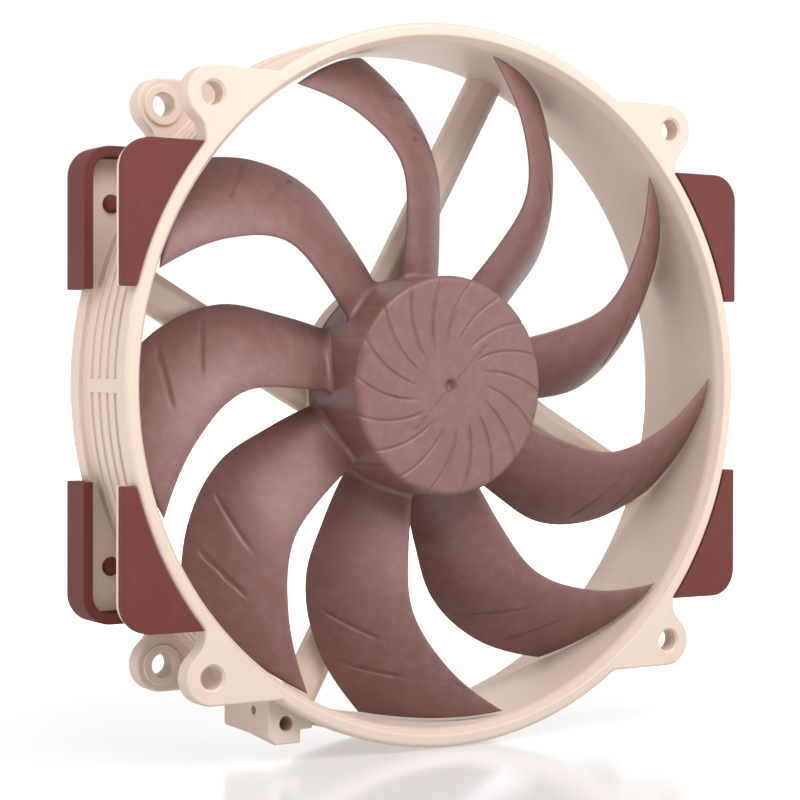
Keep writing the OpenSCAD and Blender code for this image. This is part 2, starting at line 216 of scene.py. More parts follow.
def turn(name, profile, steps=192):
    """Turns a profile of (radius, depth, rounding) corners round the spin axis."""
    piece = draw(name, [(r, y, 0, rounding) for r, y, rounding in profile])
    with editing(piece):
        bpy.ops.mesh.spin(steps=steps, angle=2 * math.pi, center=(0, 0, 0), axis=(0, 1, 0))
        bpy.ops.mesh.select_all(action="SELECT")
        bpy.ops.mesh.remove_doubles(threshold=WELD * MM)
        bpy.ops.mesh.delete_loose()
        bpy.ops.mesh.select_all(action="SELECT")
        bpy.ops.mesh.normals_make_consistent(inside=False)
    return piece


def soften(piece, edge):
    """Rounds every sharp edge."""
    modify(piece, "BEVEL", width=edge * MM, segments=EDGE_STEPS, limit_method="ANGLE", angle_limit=SHARP_EDGE)


def thicken(name, outline, y0, y1, edge=0.0):
    """A front-view outline of (x, z, rounding) corners between two depths, with its edges rounded."""
    piece = draw(name, [(x, y0, z, rounding) for x, z, rounding in outline])
    with editing(piece):
        bpy.ops.mesh.edge_face_add()
        bpy.ops.mesh.extrude_region_move(TRANSFORM_OT_translate={"value": (0, (y1 - y0) * MM, 0)})
        bpy.ops.mesh.select_all(action="SELECT")
        bpy.ops.mesh.normals_make_consistent(inside=False)
    if edge:
        soften(piece, edge)
    return piece


def loft(name, sections):
    """Carries a ring of points through the sections, each one extruded from the last."""
    let_go()
    count = len(sections[0])
    bpy.ops.mesh.primitive_circle_add(vertices=count, radius=MM, fill_type="NGON")
    piece = settle(name)
    with editing(piece, "FACE"):
        for index, section in enumerate(sections):
            if index:
                bpy.ops.mesh.extrude_region_move(TRANSFORM_OT_translate={"value": (0, 0, 0)})
            mesh = bmesh.from_edit_mesh(piece.data)
            face = next(f for f in mesh.faces if f.select)
            ring = [loop.vert for loop in face.loops]
            if index:
                old = [Vector(p) for p in sections[index - 1]]
                first = min(range(count), key=lambda k: (ring[k].co / MM - old[0]).length)
                ring = ring[first:] + ring[:first]
                if (ring[1].co / MM - old[1]).length > (ring[-1].co / MM - old[1]).length:
                    ring = ring[:1] + ring[:0:-1]
            for vertex, point in zip(ring, section):
                vertex.co = Vector(point) * MM
            bmesh.update_edit_mesh(piece.data)
        bpy.ops.mesh.select_all(action="SELECT")
        bpy.ops.mesh.normals_make_consistent(inside=False)
    return piece


def polar(r, degrees):
    """A point of the front view at a radius and an angle from +X."""
    return r * math.cos(math.radians(degrees)), r * math.sin(math.radians(degrees))


def arc(cx, cz, r, start, end, steps):
    """Corners along an arc of the front view, with no rounding of their own."""
    turned = (start + (end - start) * k / steps for k in range(steps + 1))
    return [(cx + polar(r, a)[0], cz + polar(r, a)[1], 0) for a in turned]


def stand_at(piece, x, z):
    """Moves a turned piece from the spin axis to a place of the front view."""
    for vertex in piece.data.vertices:
        vertex.co += Vector((x, 0, z)) * MM
    return piece


def mirrored(piece, name, right, up):
    """A copy with its own mesh, turned over to the left or below."""
    take(piece)
    bpy.ops.object.duplicate()
    copy = bpy.context.active_object
    copy.scale = (right, 1, up)
    settle(name)
    return heal(copy)


QUARTERS = {"upper_left": (-1, 1), "upper_right": (1, 1), "lower_left": (-1, -1), "lower_right": (1, -1)}

# %% [markdown]
# ## The frame
# The real frame is one injection moulding: a thin tube of wall with a flange at each end, four shallow
# grooves round the wall, and on each flange four ears for the screws and four thin wings for the soft pads.
# The ring is a turned profile with rounded corners and a mouth that widens forward. Ears and wings are
# thickened outlines, made once for the upper right quarter and turned over for the other three; their roots
# end inside the ring's wall, so the joined surface has no step.

# %% Turn the ring
GROOVE_HALF, GROOVE_DEPTH, GROOVE_PITCH, GROOVES = 0.7, 0.6, 3.4, 4
groove_profile = []
for k in range(GROOVES):
    middle = (k - (GROOVES - 1) / 2) * GROOVE_PITCH
    for r, y, rounding in ((WALL_R, -GROOVE_HALF, 0.25), (WALL_R - GROOVE_DEPTH, -GROOVE_HALF, 0.2),
                           (WALL_R - GROOVE_DEPTH, GROOVE_HALF, 0.2), (WALL_R, GROOVE_HALF, 0.25)):
        groove_profile.append((r, middle + y, rounding))
RING_STEPS = 240
fan_frame = turn("fan_frame", [
    (BORE_R, FRONT + INLET_DEPTH, 0.7), (INLET_R, FRONT, 0.25), (RING_R, FRONT, 1),
    (RING_R, -FLANGE, 0.35), (WALL_R, -FLANGE, 0.35), *groove_profile,
    (WALL_R, FLANGE, 0.35), (RING_R, FLANGE, 0.35), (RING_R, REAR, 1), (BORE_R, REAR, 0.3)], RING_STEPS)
report(fan_frame)

# %% Shape the ears and wings of one quarter
EAR_R, EAR_SIDE = 5.1, 53.9
ROOT_R = 67.8
PAD_X, PAD_LOW, PAD_HIGH = (pad_box[1].x / MM, pad_box[0].z / MM, pad_box[1].z / MM)
PAD_CORNER = 5.5
WING_INSET, SKIRT_T = 0.4, 2.0
PLATE_T = 2.3
PAD_FRONT = FRONT + PLATE_T
PEGS = [(63.0, 33.5), (60.0, 38.9)]
EDGE, WING_EDGE = 0.45, 0.3
BOSS_R = 3.9

slant = EAR_R / math.sqrt(2)
ear_slant_end = EAR_SIDE - 2 * slant
ear_top = SCREW + EAR_R
root_start = math.degrees(math.acos((EAR_SIDE - 1) / ROOT_R))
root_end = math.degrees(math.asin(ear_top / ROOT_R))
ear_outline = ([(EAR_SIDE, PAD_HIGH - 1, 0), (EAR_SIDE, ear_slant_end, 1.6)]
               + arc(SCREW, SCREW, EAR_R, -45, 90, 20)
               + arc(0, 0, ROOT_R, root_end, root_start, 8))


def wing_outline(margin, low):
    """Outline of a wing, kept inside the pad by a margin, with its root in the ring's wall."""
    r = PAD_CORNER - margin
    x, z = PAD_X - margin, PAD_HIGH - margin
    low_angle = math.degrees(math.asin(low / ROOT_R))
    high_angle = math.degrees(math.asin(z / ROOT_R))
    return ([(x, low, 0)] + arc(x - r, z - r, r, 0, 90, 10)
            + arc(0, 0, ROOT_R, high_angle, low_angle, 12))


quarter = thicken("quarter", ear_outline, FRONT, -FLANGE, EDGE)
rear_ear = thicken("rear_ear", ear_outline, FLANGE, REAR, EDGE)
boss = turn("boss", [(0, FLANGE - 0.5, 0), (BOSS_R, FLANGE - 0.5, 0.3), (BOSS_R, FLANGE + 1, 0),
                     (0, FLANGE + 1, 0)], 48)
combine(rear_ear, stand_at(boss, SCREW, SCREW), "UNION")
front_wing = thicken("front_wing", wing_outline(WING_INSET, PAD_LOW), PAD_FRONT, -FLANGE, WING_EDGE)
rear_wing = thicken("rear_wing", wing_outline(SKIRT_T, PAD_LOW + SKIRT_T), FLANGE, -PAD_FRONT, WING_EDGE)
for part in (rear_ear, front_wing, rear_wing):
    combine(quarter, part, "UNION")
report(quarter)

# %% Join the quarters to the ring
for place, (right, up) in QUARTERS.items():
    combine(fan_frame, mirrored(quarter, "quarter_" + place, right, up), "UNION")
bpy.data.objects.remove(quarter)
report(fan_frame)

# %% [markdown]
# The screw holes go through both ears. Their mouths are chamfered, as a screw or a rubber post needs a
# lead-in, so the cutter is itself a turned profile that flares at each face and again, a little, between the
# ears. The wings have plain round holes that the pads' pegs snap into.

# %% Cut the screw holes and the peg holes
SCREW_R, PEG_R, PEG_REACH = 2.15, 1.5, 11
FLARE, FLARE_DEPTH, PAST = 0.95, 0.45, 0.5
INNER_R, INNER_FROM, INNER_TO = 2.45, -8.3, 7.8
screw_cutter_profile = [
    (0, FRONT - PAST, 0), (SCREW_R + FLARE, FRONT - PAST, 0), (SCREW_R, FRONT + FLARE_DEPTH, 0),
    (SCREW_R, INNER_FROM - FLARE_DEPTH, 0), (INNER_R, INNER_FROM, 0), (INNER_R, INNER_TO, 0),
    (SCREW_R, INNER_TO + FLARE_DEPTH, 0), (SCREW_R, REAR - FLARE_DEPTH, 0),
    (SCREW_R + FLARE, REAR + PAST, 0), (0, REAR + PAST, 0)]
peg_cutter_profile = [(0, -PEG_REACH, 0), (PEG_R, -PEG_REACH, 0), (PEG_R, PEG_REACH, 0), (0, PEG_REACH, 0)]


def cutters(profile, spots, name):
    """Copies of a turned cutter at the same spots of all four quarters."""
    first = turn(name, profile, 40)
    copies = []
    for right, up in QUARTERS.values():
        for x, z in spots:
            take(first)
            bpy.ops.object.duplicate()
            copy = bpy.context.active_object
            copy.location = (right * x * MM, 0, up * z * MM)
            copies.append(settle(name + "_at"))
    bpy.data.objects.remove(first)
    take(*copies)
    bpy.ops.object.join()
    return bpy.context.active_object


combine(fan_frame, cutters(screw_cutter_profile, [(SCREW, SCREW)], "screw_cutter"), "DIFFERENCE")
combine(fan_frame, cutters(peg_cutter_profile, PEGS, "peg_cutter"), "DIFFERENCE")
report(fan_frame)

# %% [markdown]
# On the left and right of the wall a short smooth land bridges the grooves, where the two halves of the mould
# meet. At the bottom the rear flange is notched for the wires that lie in the lowest strut.

# %% Bridge the grooves and notch the rear flange
LAND_HALF, LAND_REACH, LAND_EDGE = 1.3, 6.6, 0.3
LAND_ROOT_R, LAND_R = WALL_R - 1.2, WALL_R + 0.08
for side in (-1, 1):
    land = thicken("land", [(side * LAND_ROOT_R, -LAND_HALF, 0), (side * LAND_R, -LAND_HALF, 0),
                            (side * LAND_R, LAND_HALF, 0), (side * LAND_ROOT_R, LAND_HALF, 0)],
                   -LAND_REACH, LAND_REACH, LAND_EDGE)
    combine(fan_frame, land, "UNION")

STRUTS, STRUT_HEADING, STRUT_OFFSET = 4, 60.5, 11.2
STRUT_FRONT, STRUT_HALF = REAR - 3.6, 3.85
BEVEL_W, BEVEL_DEPTH = 2.2, 1.8
WIRE_STRUT, CHANNEL_START, CHANNEL_W, CHANNEL_DEPTH = 2, 15.1, 3.2, 2.3


def on_strut(index, along, aside, y):
    """The place at a distance along a strut's middle line and to its left."""
    run_x, run_z = polar(along, STRUT_HEADING + index * 360 / STRUTS)
    side_x, side_z = polar(STRUT_OFFSET + aside, STRUT_HEADING + index * 360 / STRUTS + 90)
    return run_x + side_x, y, run_z + side_z


def strut_bar(name, index, section, start, end):
    """A cross-section of (aside, depth, rounding) corners, extruded along a strut's middle line."""
    bar = draw(name, [(*on_strut(index, start, aside, y), rounding) for aside, y, rounding in section])
    way = Vector(on_strut(index, end, 0, 0)) - Vector(on_strut(index, start, 0, 0))
    with editing(bar):
        bpy.ops.mesh.edge_face_add()
        bpy.ops.mesh.extrude_region_move(TRANSFORM_OT_translate={"value": way * MM})
        bpy.ops.mesh.select_all(action="SELECT")
        bpy.ops.mesh.normals_make_consistent(inside=False)
    return bar


def wire_channel():
    """The cutter of the channel behind the lowest strut, from the motor base out past the ring."""
    half, floor_y = CHANNEL_W / 2, REAR - CHANNEL_DEPTH
    channel = [(-half, floor_y, 0.3), (half, floor_y, 0.3), (half, REAR + 1, 0), (-half, REAR + 1, 0)]
    return strut_bar("wire_channel", WIRE_STRUT, channel, CHANNEL_START, RING_R + 3)


combine(fan_frame, wire_channel(), "DIFFERENCE")
finish_edges(fan_frame)
report(fan_frame)

# %% [markdown]
# ## The motor base and its struts
# The motor sits in a shallow cup in the middle of the rear face. Four straight struts hold it and pass beside
# the spin axis, so that a blade never passes the whole of a strut at once and the fan stays quiet. The cup is
# a turned profile with the seat for the bearing inside it. A strut is one cross-section, bevelled towards the
# air, extruded along the strut's middle line; its ends are trimmed to the cup and to the bore.

# %% Turn the cup
BASE_R, BASE_FRONT, BASE_FLOOR, RIM_T = 21.3, 8.3, 10.3, 1.3
TUBE_R, TUBE_END, SEAT_FRONT = 4.8, 11.6, 7.9
DISC_R, DISC_T = 16.0, 0.3
motor_cup = turn("motor_cup_and_struts", [
    (0, TUBE_END, 0), (TUBE_R, TUBE_END, 0), (TUBE_R, SEAT_FRONT, 0), (TUBE_R + RIM_T, SEAT_FRONT, 0.3),
    (TUBE_R + RIM_T, BASE_FLOOR, 0.4), (BASE_R - RIM_T, BASE_FLOOR, 0.5), (BASE_R - RIM_T, BASE_FRONT, 0.2),
    (BASE_R, BASE_FRONT, 0.3), (BASE_R, REAR, 0.7), (DISC_R, REAR, 0.15), (DISC_R, REAR - DISC_T, 0),
    (0, REAR - DISC_T, 0)], 192)
POST_R, POST_AT, BOARD_Y = 1.2, 15.2, 6.9
for angle in (90, 210, 330):
    post = turn("post", [(0, BOARD_Y, 0), (POST_R, BOARD_Y, 0.3), (POST_R, BASE_FLOOR + 0.5, 0),
                         (0, BASE_FLOOR + 0.5, 0)], 32)
    combine(motor_cup, stand_at(post, *polar(POST_AT, angle)), "UNION")
report(motor_cup)

# %% Carry the struts out to the ring
STRUT_ROOT_R, STRUT_END_R = BASE_R - 0.6, BORE_R + 0.12
between = turn("between", [(STRUT_ROOT_R, 0, 0), (STRUT_END_R, 0, 0), (STRUT_END_R, REAR + 2, 0),
                           (STRUT_ROOT_R, REAR + 2, 0)], RING_STEPS)
strut_section = [(-STRUT_HALF, REAR, 0.35), (-STRUT_HALF, STRUT_FRONT + BEVEL_DEPTH, 0.6),
                 (-STRUT_HALF + BEVEL_W, STRUT_FRONT, 0.5), (STRUT_HALF - BEVEL_W, STRUT_FRONT, 0.5),
                 (STRUT_HALF, STRUT_FRONT + BEVEL_DEPTH, 0.6), (STRUT_HALF, REAR, 0.35)]
for index in range(STRUTS):
    strut = strut_bar("strut", index, strut_section, 6, BORE_R + 2)
    modify(strut, "BOOLEAN", object=between, operation="INTERSECT", solver="EXACT")
    combine(motor_cup, strut, "UNION")
bpy.data.objects.remove(between)
combine(motor_cup, wire_channel(), "DIFFERENCE")
WIRE_HOLE_R = 2.0
wire_hole = turn("wire_hole", [(0, BASE_FLOOR - 0.5, 0), (WIRE_HOLE_R, BASE_FLOOR - 0.5, 0),
                               (WIRE_HOLE_R, REAR + 1, 0), (0, REAR + 1, 0)], 40)
x, _, z = on_strut(WIRE_STRUT, CHANNEL_START, 0, 0)
combine(motor_cup, stand_at(wire_hole, x, z), "DIFFERENCE")
finish_edges(motor_cup)
report(motor_cup)

# %% [markdown]
# A thin plain disc closes the recess behind the bearing. It is turned with a shallow step near its rim, as a
# pressed-in cover has.

# %% Turn the rear disc
COVER_R, COVER_RIM_Y, COVER_Y = DISC_R - 0.1, REAR - 0.02, REAR - 0.12
rear_cover = turn("rear_cover", [
    (0, REAR - DISC_T, 0), (COVER_R, REAR - DISC_T, 0), (COVER_R, COVER_RIM_Y, 0.08),
    (DISC_R - 1.2, COVER_RIM_Y, 0.05), (DISC_R - 1.4, COVER_Y, 0.05), (0, COVER_Y, 0)], 144)
finish_edges(rear_cover)
report(rear_cover)

# %% [markdown]
# ## The cable outlet
# Under the ring at the lower left hangs a small block that the cable would leave through. It is a cube whose
# left lower edge is bevelled and whose rear lower edge is drawn up, cut out along its right lower edge and
# cut to the ring's curve. Its edges are softened, the cable's passage runs through it from front to rear, and
# its left side has a small blind hole.

# %% Cut the outlet block
outlet_low, outlet_high = outlet_box
OUTLET_TOP, OUTLET_RISE, OUTLET_BEVEL, OUTLET_EDGE = -57.0, 1.6, 1.5, 0.5
NOTCH_W, NOTCH_TOP, NOTCH_H, NOTCH_LENGTH = 2.6, -64.1, 10, 30
CABLE_HOLE_R, CABLE_HOLE_AT = 1.4, (-35.0, -62.7)
SIDE_HOLE_R, SIDE_HOLE_DEPTH, SIDE_HOLE_Y, SIDE_HOLE_Z = 0.9, 3, -2.6, -60.6
let_go()
middle = (outlet_low + outlet_high) / 2
middle.z = (outlet_low.z + OUTLET_TOP * MM) / 2
bpy.ops.mesh.primitive_cube_add(size=1, location=middle)
outlet = bpy.context.active_object
outlet.dimensions = (outlet_high.x - outlet_low.x, outlet_high.y - outlet_low.y,
                     OUTLET_TOP * MM - outlet_low.z)
outlet = settle("cable_outlet_block")
with editing(outlet, "EDGE", everything=False) as mesh:
    select(mesh, mesh.edges, lambda e: all(v.co.x < middle.x and v.co.z < middle.z for v in e.verts))
    bpy.ops.mesh.bevel(offset=OUTLET_BEVEL * MM, segments=1)
with editing(outlet, everything=False) as mesh:
    select(mesh, mesh.verts, lambda v: v.co.y > middle.y and v.co.z < outlet_low.z + 0.1 * MM)
    bpy.ops.transform.translate(value=(0, 0, OUTLET_RISE * MM))
let_go()
bpy.ops.mesh.primitive_cube_add(size=1, location=(outlet_high.x, middle.y, (NOTCH_TOP - NOTCH_H / 2) * MM))
notch = bpy.context.active_object
notch.dimensions = (2 * NOTCH_W * MM, NOTCH_LENGTH * MM, NOTCH_H * MM)
combine(outlet, settle("notch"), "DIFFERENCE")
modify(outlet, "BEVEL", width=OUTLET_EDGE * MM, segments=EDGE_STEPS, limit_method="ANGLE")
PLUG_R, PLUG_REACH = WALL_R - 1, 20
wall_plug = turn("wall_plug", [(0, -PLUG_REACH, 0), (PLUG_R, -PLUG_REACH, 0), (PLUG_R, PLUG_REACH, 0),
                               (0, PLUG_REACH, 0)], RING_STEPS)
combine(outlet, wall_plug, "DIFFERENCE")
passage = turn("passage", [
    (0, -10, 0), (CABLE_HOLE_R + 1.9, -10, 0), (CABLE_HOLE_R, outlet_low.y / MM + 0.3, 0),
    (CABLE_HOLE_R, outlet_high.y / MM - 0.3, 0), (CABLE_HOLE_R + 1.3, 12, 0), (0, 12, 0)], 40)
combine(outlet, stand_at(passage, *CABLE_HOLE_AT), "DIFFERENCE")
let_go()
bpy.ops.mesh.primitive_cylinder_add(vertices=32, radius=SIDE_HOLE_R * MM, depth=2 * SIDE_HOLE_DEPTH * MM,
                                    rotation=(0, math.pi / 2, 0),
                                    location=(outlet_low.x, SIDE_HOLE_Y * MM, SIDE_HOLE_Z * MM))
combine(outlet, settle("side_hole"), "DIFFERENCE")
finish_edges(outlet)
report(outlet)

# %% [markdown]
# ## The soft pads
# Eight pads of silicone rubber cover the wings, so that the frame never touches the case directly. A front
# pad is a plain plate with one large round corner. A rear pad also has a skirt that reaches forward round the
# wing, which a second outline hollows out of a thicker plate. Two pegs with swollen heads are pulled through
# the wing's holes and hold the pad. Each kind is made once and turned over for the other quarters.

# %% Shape a front and a rear pad
def pad_outline():
    """Outline of a pad, ending on a circle that clears the ring."""
    clear_r = RING_R + 0.05
    low_angle = math.degrees(math.asin(PAD_LOW / clear_r))
    high_angle = math.degrees(math.asin(PAD_HIGH / clear_r))
    return ([(PAD_X, PAD_LOW, 0.25)] + arc(PAD_X - PAD_CORNER, PAD_HIGH - PAD_CORNER, PAD_CORNER, 0, 90, 12)
            + arc(0, 0, clear_r, high_angle, low_angle, 16))


def add_pegs(pad, y_plate, y_end):
    """Two pegs from the pad's plate to just past the wing, each with a swollen head."""
    way = 1 if y_end > y_plate else -1
    neck, head = PEG_R - 0.05, PEG_R + 0.3
    wing_face = y_end - way
    profile = [(0, y_plate - way * 0.8, 0), (neck, y_plate - way * 0.8, 0), (neck, wing_face + way * 0.05, 0),
               (head, wing_face + way * 0.1, 0.1), (neck - 0.2, y_end, 0.3), (0, y_end, 0)]
    for x, z in PEGS:
        combine(pad, stand_at(turn("peg", profile, 28), x, z), "UNION")


SKIRT_FRONT = skirt_box[0].y / MM
PAD_EDGE = 0.45
front_pad = thicken("front_pad", pad_outline(), FRONT, PAD_FRONT, PAD_EDGE)
add_pegs(front_pad, PAD_FRONT, -FLANGE + 1)
report(front_pad)
rear_pad = thicken("rear_pad", pad_outline(), SKIRT_FRONT, REAR)
hollow_x, hollow_z = PAD_X - SKIRT_T, PAD_HIGH - SKIRT_T
hollow_r, hollow_left, hollow_low = PAD_CORNER - SKIRT_T, 40, PAD_LOW - 2
hollow = thicken("hollow", [(hollow_x, hollow_low, 0)]
                 + arc(hollow_x - hollow_r, hollow_z - hollow_r, hollow_r, 0, 90, 12)
                 + [(hollow_left, hollow_z, 0), (hollow_left, hollow_low, 0)], SKIRT_FRONT - 1, -PAD_FRONT)
combine(rear_pad, hollow, "DIFFERENCE")
soften(rear_pad, PAD_EDGE)
add_pegs(rear_pad, -PAD_FRONT, FLANGE - 1)
report(rear_pad)

# %% Copy the pads to the four quarters
pads = {}
for face, pad in (("front", front_pad), ("rear", rear_pad)):
    for place, (right, up) in QUARTERS.items():
        copy = mirrored(pad, face + "_soft_pad_" + place, right, up)
        finish_edges(copy)
        pads[f"{face}_pad_{place}"] = copy
    bpy.data.objects.remove(pad)
print(len(pads), "pads")

# %% [markdown]
# ## The hub
# The hub is a cup over the motor. Its front carries eighteen thin grooves that swirl out to the rounded edge,
# round a dimple in a shallow dish. The cup is a turned profile. So that the grooves come out crisp, the
# profile is turned in thirty steps for each groove, the cap's rings are then twisted along the swirl, and the
# middle columns of vertices are pushed in.

# %% Turn the cup and swirl its cap
HUB_FRONT, HUB_END, HUB_WALL = hub_box[0].y / MM, hub_box[1].y / MM, 1.4
CAP_ROUND = 1.1
SWIRLS, COLUMNS = 18, 30
SWIRL_DEPTH, SWIRL_FROM, SWIRL_RATE, SWIRL_AT = 0.26, 7.5, -1.75, 155.5
CAP_RINGS = 22
DIMPLE_DEPTH, DISH_DEPTH = 0.95, 0.15
corner = [(HUB_R - CAP_ROUND + polar(CAP_ROUND, a)[0], HUB_FRONT + CAP_ROUND + polar(CAP_ROUND, a)[1], 0)
          for a in range(-90, 1, 15)]
cap_radii = [0, 0.35, 0.6, 0.8, 1.0, 1.2, 1.45]
cap_radii += [(HUB_R - CAP_ROUND) * k / CAP_RINGS for k in range(2, CAP_RINGS)]
cap_line = [(r, HUB_FRONT, 0) for r in cap_radii]
hub = turn("hub_cup", cap_line + corner + [
    (HUB_R, HUB_END, 0.2), (HUB_R - HUB_WALL, HUB_END, 0.2), (HUB_R - HUB_WALL, HUB_FRONT + HUB_WALL, 0.3),
    (0, HUB_FRONT + HUB_WALL, 0)], SWIRLS * COLUMNS)


def smooth(x):
    x = min(1, max(0, x))
    return x * x * (3 - 2 * x)


pitch = 360 / SWIRLS
for vertex in hub.data.vertices:
    x, y, z = vertex.co / MM
    r = math.hypot(x, z)
    if y > HUB_FRONT + 0.9 * CAP_ROUND or r < 0.01:
        continue
    angle = math.degrees(math.atan2(z, x))
    swirl = SWIRL_RATE * (r - HUB_R)
    off = (angle - SWIRL_AT + pitch / 2) % pitch - pitch / 2
    width = abs(math.radians(off) * r)
    groove = SWIRL_DEPTH * smooth((r - SWIRL_FROM) / 2.5) * smooth(1.25 - width / 0.42)
    dish = DIMPLE_DEPTH * smooth(1.6 - r / 0.9) + DISH_DEPTH * math.exp(-(r / 3.2) ** 2)
    x, z = polar(r, angle + swirl)
    vertex.co = Vector((x, y + groove + dish, z)) * MM
for vertex in hub.data.vertices:
    if vertex.co.y < (HUB_FRONT + 0.2) * MM and math.hypot(vertex.co.x, vertex.co.z) < 0.01 * MM:
        vertex.co.y += (DIMPLE_DEPTH + DISH_DEPTH) * MM
take(hub)
bpy.ops.object.shade_smooth_by_angle(angle=math.radians(40))
report(hub)

# %% [markdown]
# ## The blades
# Nine thin blades sweep forward and twist from root to tip. A blade is a loft: an aerofoil section at each
# radius, set by where its leading and trailing edges lie, with a camber and a thickness that thins towards
# the tip. At the root the skin flares out to meet the hub in a fillet, at the tip it closes in a rounded
# edge, and two long shallow grooves follow the air over the front side. One blade is made and the others are
# copies turned about the spin axis.

# %% Describe the blade's section
# From the root to the tip: the leading edge's angle and depth, then the trailing edge's angle and depth.
STATIONS = [(3, -0.4, -30, 6.3), (0.5, -3.6, -25, 7), (1.5, -6.4, -20.8, 7.3), (10.2, -8.4, -12, 6.7),
            (21.3, -9.8, 0, 5.3)]
BLADES, BLADE_DATUM = 9, -100.0
ROOT_AT, TIP_AT = HUB_R - 0.3, 65.3
ROOT_T, TIP_T, CAMBER, TAIL_T = 2.4, 1.5, 0.05, 0.5
FILLET = 1.3
CHORD_STEPS = 36
FLOW_GROOVES = ((48.0, -5.2), (56.5, -1.0))
FLOW_FROM, FLOW_TO = 0.34, 0.86
FLOW_HALF, FLOW_DEPTH, FLOW_RUN_IN, FLOW_RUN_OUT = 0.5, 0.42, 0.12, 0.05
FLOW_REACH, FLOW_SPACING = 0.8, 0.22


def station(r, column):
    """Reads one column of the stations at a radius, smoothly between them."""
    last = len(STATIONS) - 1
    at = (r - ROOT_AT) / (TIP_AT - ROOT_AT) * last
    i = min(last - 1, max(0, math.floor(at)))
    ends = [STATIONS[0], *STATIONS, STATIONS[last]]
    value = [row[column] for row in ends]
    value[0] = 2 * value[1] - value[2]
    value[-1] = 2 * value[-2] - value[-3]
    a, b, c, d = value[i:i + 4]
    t = at - i
    return b + 0.5 * t * (c - a + t * (2 * a - 5 * b + 4 * c - d + t * (3 * (b - c) + d - a)))


def fullness(u):
    """How thick an aerofoil is along its chord, the nose being 0 and the tail 1."""
    return 1.48 * math.sqrt(u) - 0.63 * u - 1.76 * u ** 2 + 1.42 * u ** 3 - 0.51 * u ** 4


def section(r, slim=1.0):
    """A closed aerofoil at a radius, from the tail over the front side to the nose and back."""
    lead = Vector((math.radians(station(r, 0)) * r, station(r, 1)))
    tail = Vector((math.radians(station(r, 2)) * r, station(r, 3)))
    chord = tail - lead
    across = Vector((chord.y, -chord.x)).normalized()
    along = chord.normalized()
    share = (r - ROOT_AT) / (TIP_AT - ROOT_AT)
    thick = ROOT_T + (TIP_T - ROOT_T) * share
    rise = max(0.0, FILLET - max(0.0, r - HUB_R + 0.05))
    flare = FILLET - math.sqrt(max(0.0, FILLET ** 2 - rise ** 2))
    points = []
    for side in (-1, 1):
        steps = range(CHORD_STEPS, -1, -1) if side < 0 else range(1, CHORD_STEPS + 1)
        for k in steps:
            u = (1 - math.cos(math.pi * k / CHORD_STEPS)) / 2
            half = (thick * fullness(u) + TAIL_T / 2 * u) * slim + flare
            if side < 0:
                for groove_r, drift in FLOW_GROOVES:
                    near = smooth(1.3 - abs(r - groove_r - drift * (u - FLOW_TO)) / FLOW_HALF)
                    ends = smooth((u - FLOW_FROM) / FLOW_RUN_IN) * smooth((FLOW_TO - u) / FLOW_RUN_OUT)
                    half -= FLOW_DEPTH * near * ends
            bow = CAMBER * chord.length * 4 * u * (1 - u)
            place = lead + u * chord + across * (side * half - bow) + along * flare * (2 * u - 1)
            x, z = polar(r, math.degrees(place.x / r) + BLADE_DATUM)
            points.append((x, place.y, z))
    return points


# %% Loft a blade and copy it round
radii = {ROOT_AT - 0.5, HUB_R - 0.1, HUB_R, TIP_AT - 0.5}
radii |= {HUB_R + d for d in (0.1, 0.25, 0.45, 0.7, 1.0, 1.4)}
radii |= {HUB_R + 2.2 + (TIP_AT - HUB_R - 3.2) * k / 26 for k in range(27)}
for groove_r, drift in FLOW_GROOVES:
    low, high = groove_r - FLOW_REACH, groove_r - drift * (FLOW_TO - FLOW_FROM) + FLOW_REACH
    radii = {r for r in radii if not low < r < high}
    radii |= {low + FLOW_SPACING * k for k in range(math.ceil((high - low) / FLOW_SPACING) + 1)}
sections = [section(r) for r in sorted(radii)]
sections += [section(TIP_AT - 0.2, 0.86), section(TIP_AT - 0.06, 0.6), section(TIP_AT, 0.25)]
blade = loft("blade", sections)
heal(blade)
report(blade)

blades = {}
for index in range(BLADES):
    take(blade)
    bpy.ops.object.duplicate()
    copy = bpy.context.active_object
    copy.rotation_euler = (0, math.radians(-360 / BLADES * index), 0)
    copy = settle(f"swept_blade_{index + 1}")
    bpy.ops.object.shade_smooth_by_angle(angle=math.radians(45))
    blades[f"blade_{index + 1}"] = copy
bpy.data.objects.remove(blade)

# %% [markdown]
# ## Finishes
# A finish is a small program that runs at every point of the surface. Writing its arithmetic as Python
# expressions keeps it readable: `Value` wraps one socket, and adding or multiplying values adds the nodes.
# Colours are blended rather than multiplied as numbers, and every other node is made by `Finish.node`.

# %% Write shader maths as expressions
class Value:
    """A number on its way through a finish."""

    def __init__(self, finish, socket):
        self.finish, self.socket = finish, socket

    def join(self, operation, first, second):
        return self.finish.node("ShaderNodeMath", {"operation": operation}, {0: first, 1: second})

    def __add__(self, other):
        return self.join("ADD", self, other)

    __radd__ = __add__

    def __sub__(self, other):
        return self.join("SUBTRACT", self, other)

    def __rsub__(self, other):
        return self.join("SUBTRACT", other, self)

    def __mul__(self, other):
        return self.join("MULTIPLY", self, other)

    __rmul__ = __mul__

    def __truediv__(self, other):
        return self.join("DIVIDE", self, other)

    def __pow__(self, other):
        return self.join("POWER", self, other)

    def held(self):
        """The same number, kept between 0 and 1."""
        return self.finish.node("ShaderNodeClamp", {}, {"Value": self})


